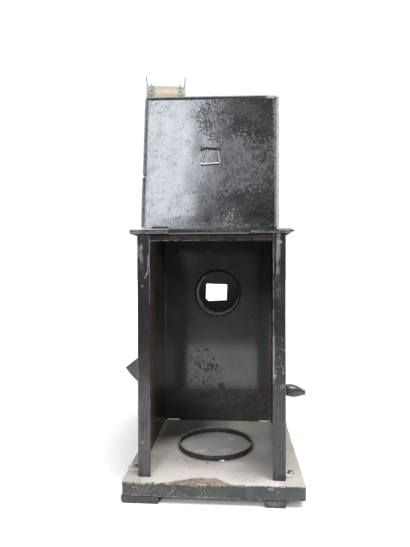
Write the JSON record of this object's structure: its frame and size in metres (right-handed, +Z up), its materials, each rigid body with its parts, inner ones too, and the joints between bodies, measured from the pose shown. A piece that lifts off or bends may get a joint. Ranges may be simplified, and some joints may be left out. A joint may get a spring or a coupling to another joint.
{
  "type": "cinematograph",
  "caption": "Hand-cranked 35 mm film projector: wooden base, open sheet-iron lamphouse with hinged lid, beater movement, rotary shutter, sliding lens and swivelling film spool.",
  "frame": {"origin": "middle of the object's bounding box, on the plane its feet stand on", "axes": "+Y the way the light goes, from the lamphouse's open rear to the lens; +Z up; +X towards the crank"},
  "size_m": [0.204, 0.2227, 0.3572],
  "materials": {
    "base_wood": "worn dark paint over pine, dusty on top",
    "foot_wood": "dark painted wood",
    "lamphouse_iron": "worn black lacquer on sheet iron, rust spots",
    "lamphouse_front_iron": "worn black lacquer, heat marked",
    "lintel_iron": "worn lacquer, brown rust",
    "roof_iron": "worn black lacquer",
    "lid_iron": "glossy black lacquer, mottled",
    "wire": "dark iron wire",
    "tube_iron": "black lacquer",
    "ring_iron": "dark iron strip, worn bright on its edge",
    "screw_steel": "dull steel",
    "mechanism_iron": "black lacquer",
    "gate_steel": "dull steel",
    "shaft_steel": "turned steel",
    "brass": "aged brass",
    "lens_brass": "lacquered brass",
    "glass": "clear",
    "crank_iron": "black lacquer",
    "grip_wood": "ebonised turned wood",
    "shutter_sheet": "blackened sheet",
    "spool_wood": "pale wood",
    "cheek_sheet": "thin tinplate",
    "film": "blank amber film",
    "roller_wood": "boxwood"
  },
  "bodies": {
    "machine": {"base_board": "base_wood", "feet_left": "foot_wood", "feet_right": "foot_wood", "lamphouse_side_left": "lamphouse_iron", "lamphouse_side_right": "lamphouse_iron", "lamphouse_front": "lamphouse_front_iron", "lintel_strip": "lintel_iron", "lamphouse_rivets": "lamphouse_iron", "lamphouse_screws": "screw_steel", "top_plate": "roof_iron", "hinge_wire": "wire", "condenser_tube": "tube_iron", "condenser_flange": "tube_iron", "lamp_ring": "ring_iron", "mechanism_plate_left": "mechanism_iron", "mechanism_plate_right": "mechanism_iron", "mechanism_screws": "screw_steel", "gate_plate": "gate_steel", "pressure_pins": "shaft_steel", "lens_holder": "mechanism_iron", "guide_roller_pin": "shaft_steel", "crank_bushes": "brass", "beater_bushes": "brass", "shutter_bearing": "mechanism_iron", "swivel_socket": "mechanism_iron"},
    "lid": {"lid": "lid_iron", "lid_pull_eyes": "wire"},
    "lid_pull": {"lid_pull": "wire"},
    "lens": {"lens_barrel": "lens_brass", "lens_knurl_ring": "lens_brass", "lens_glass_front": "glass", "lens_glass_rear": "glass"},
    "pressure_frame": {"pressure_frame": "gate_steel"},
    "guide_roller": {"guide_roller": "brass"},
    "crank": {"crank_shaft": "shaft_steel", "crank_collar": "shaft_steel", "crank_arm": "crank_iron", "crank_nut": "screw_steel", "crank_handle_pin": "shaft_steel", "drive_gear": "brass", "film_sprocket": "brass"},
    "grip": {"crank_grip": "grip_wood"},
    "beater": {"beater_shaft": "shaft_steel", "beater_pinion": "shaft_steel", "beater_cheeks": "brass", "beater_pin": "shaft_steel", "bevel_gear_drive": "brass"},
    "beater_roller": {"beater_roller": "roller_wood"},
    "shutter": {"bevel_gear_shutter": "brass", "shutter_shaft": "shaft_steel", "shutter_hub": "brass", "shutter_blade": "shutter_sheet", "shutter_nut": "screw_steel"},
    "spool_arm": {"swivel_post": "mechanism_iron", "spool_axle": "shaft_steel"},
    "spool": {"spool_core": "spool_wood", "spool_cheek_left": "cheek_sheet", "spool_cheek_right": "cheek_sheet", "film_wrap": "film"}
  },
  "joints": [
    {"name": "lid_hinge", "type": "hinge", "parent": "machine", "child": "lid", "pos_m": [0.01258, -0.10405, 0.1916], "axis": [1, 0, 0], "range_deg": [-83.6, 95]},
    {"name": "lid_pull_hinge", "type": "hinge", "parent": "lid", "child": "lid_pull", "pos_m": [0.01228, -0.10193, 0.25083], "axis": [1, 0, 0], "range_deg": [-150, 0]},
    {"name": "lens_focus", "type": "slide", "parent": "machine", "child": "lens", "axis": [0, 1, 0], "range_m": [-0.0025, 0.006]},
    {"name": "pressure_slide", "type": "slide", "parent": "machine", "child": "pressure_frame", "axis": [0, 1, 0], "range_m": [0, 0.003], "stiffness_N_per_m": 300, "springref_m": -0.002},
    {"name": "guide_roller_turn", "type": "hinge", "parent": "machine", "child": "guide_roller", "pos_m": [0.00958, 0.06385, 0.053], "axis": [1, 0, 0], "continuous": true},
    {"name": "crank_turn", "type": "hinge", "parent": "machine", "child": "crank", "pos_m": [0.01258, 0.04485, 0.068], "axis": [1, 0, 0], "continuous": true},
    {"name": "grip_turn", "type": "hinge", "parent": "crank", "child": "grip", "pos_m": [0.07978, 0.04485, 0.03985], "axis": [0.9903, 0, -0.1392], "continuous": true},
    {"name": "beater_turn", "type": "hinge", "parent": "machine", "child": "beater", "pos_m": [0.01258, 0.06492, 0.0903], "axis": [1, 0, 0], "continuous": true},
    {"name": "beater_roller_turn", "type": "hinge", "parent": "beater", "child": "beater_roller", "pos_m": [0.00958, 0.06492, 0.0818], "axis": [1, 0, 0], "continuous": true},
    {"name": "shutter_turn", "type": "hinge", "parent": "machine", "child": "shutter", "pos_m": [-0.03492, 0.09685, 0.0903], "axis": [0, 1, 0], "continuous": true},
    {"name": "spool_arm_swivel", "type": "hinge", "parent": "machine", "child": "spool_arm", "pos_m": [-0.01512, 0.03185, 0.165], "axis": [0, 0, 1], "range_deg": [-188.9, 0]},
    {"name": "spool_turn", "type": "hinge", "parent": "spool_arm", "child": "spool", "pos_m": [-0.03952, 0.02803, 0.3318], "axis": [0.988, 0.1547, 0], "continuous": true}
  ],
  "couplings": [
    {"joint": "beater_turn", "follows": "crank_turn", "ratio": -4},
    {"joint": "shutter_turn", "follows": "crank_turn", "ratio": 4}
  ]
}
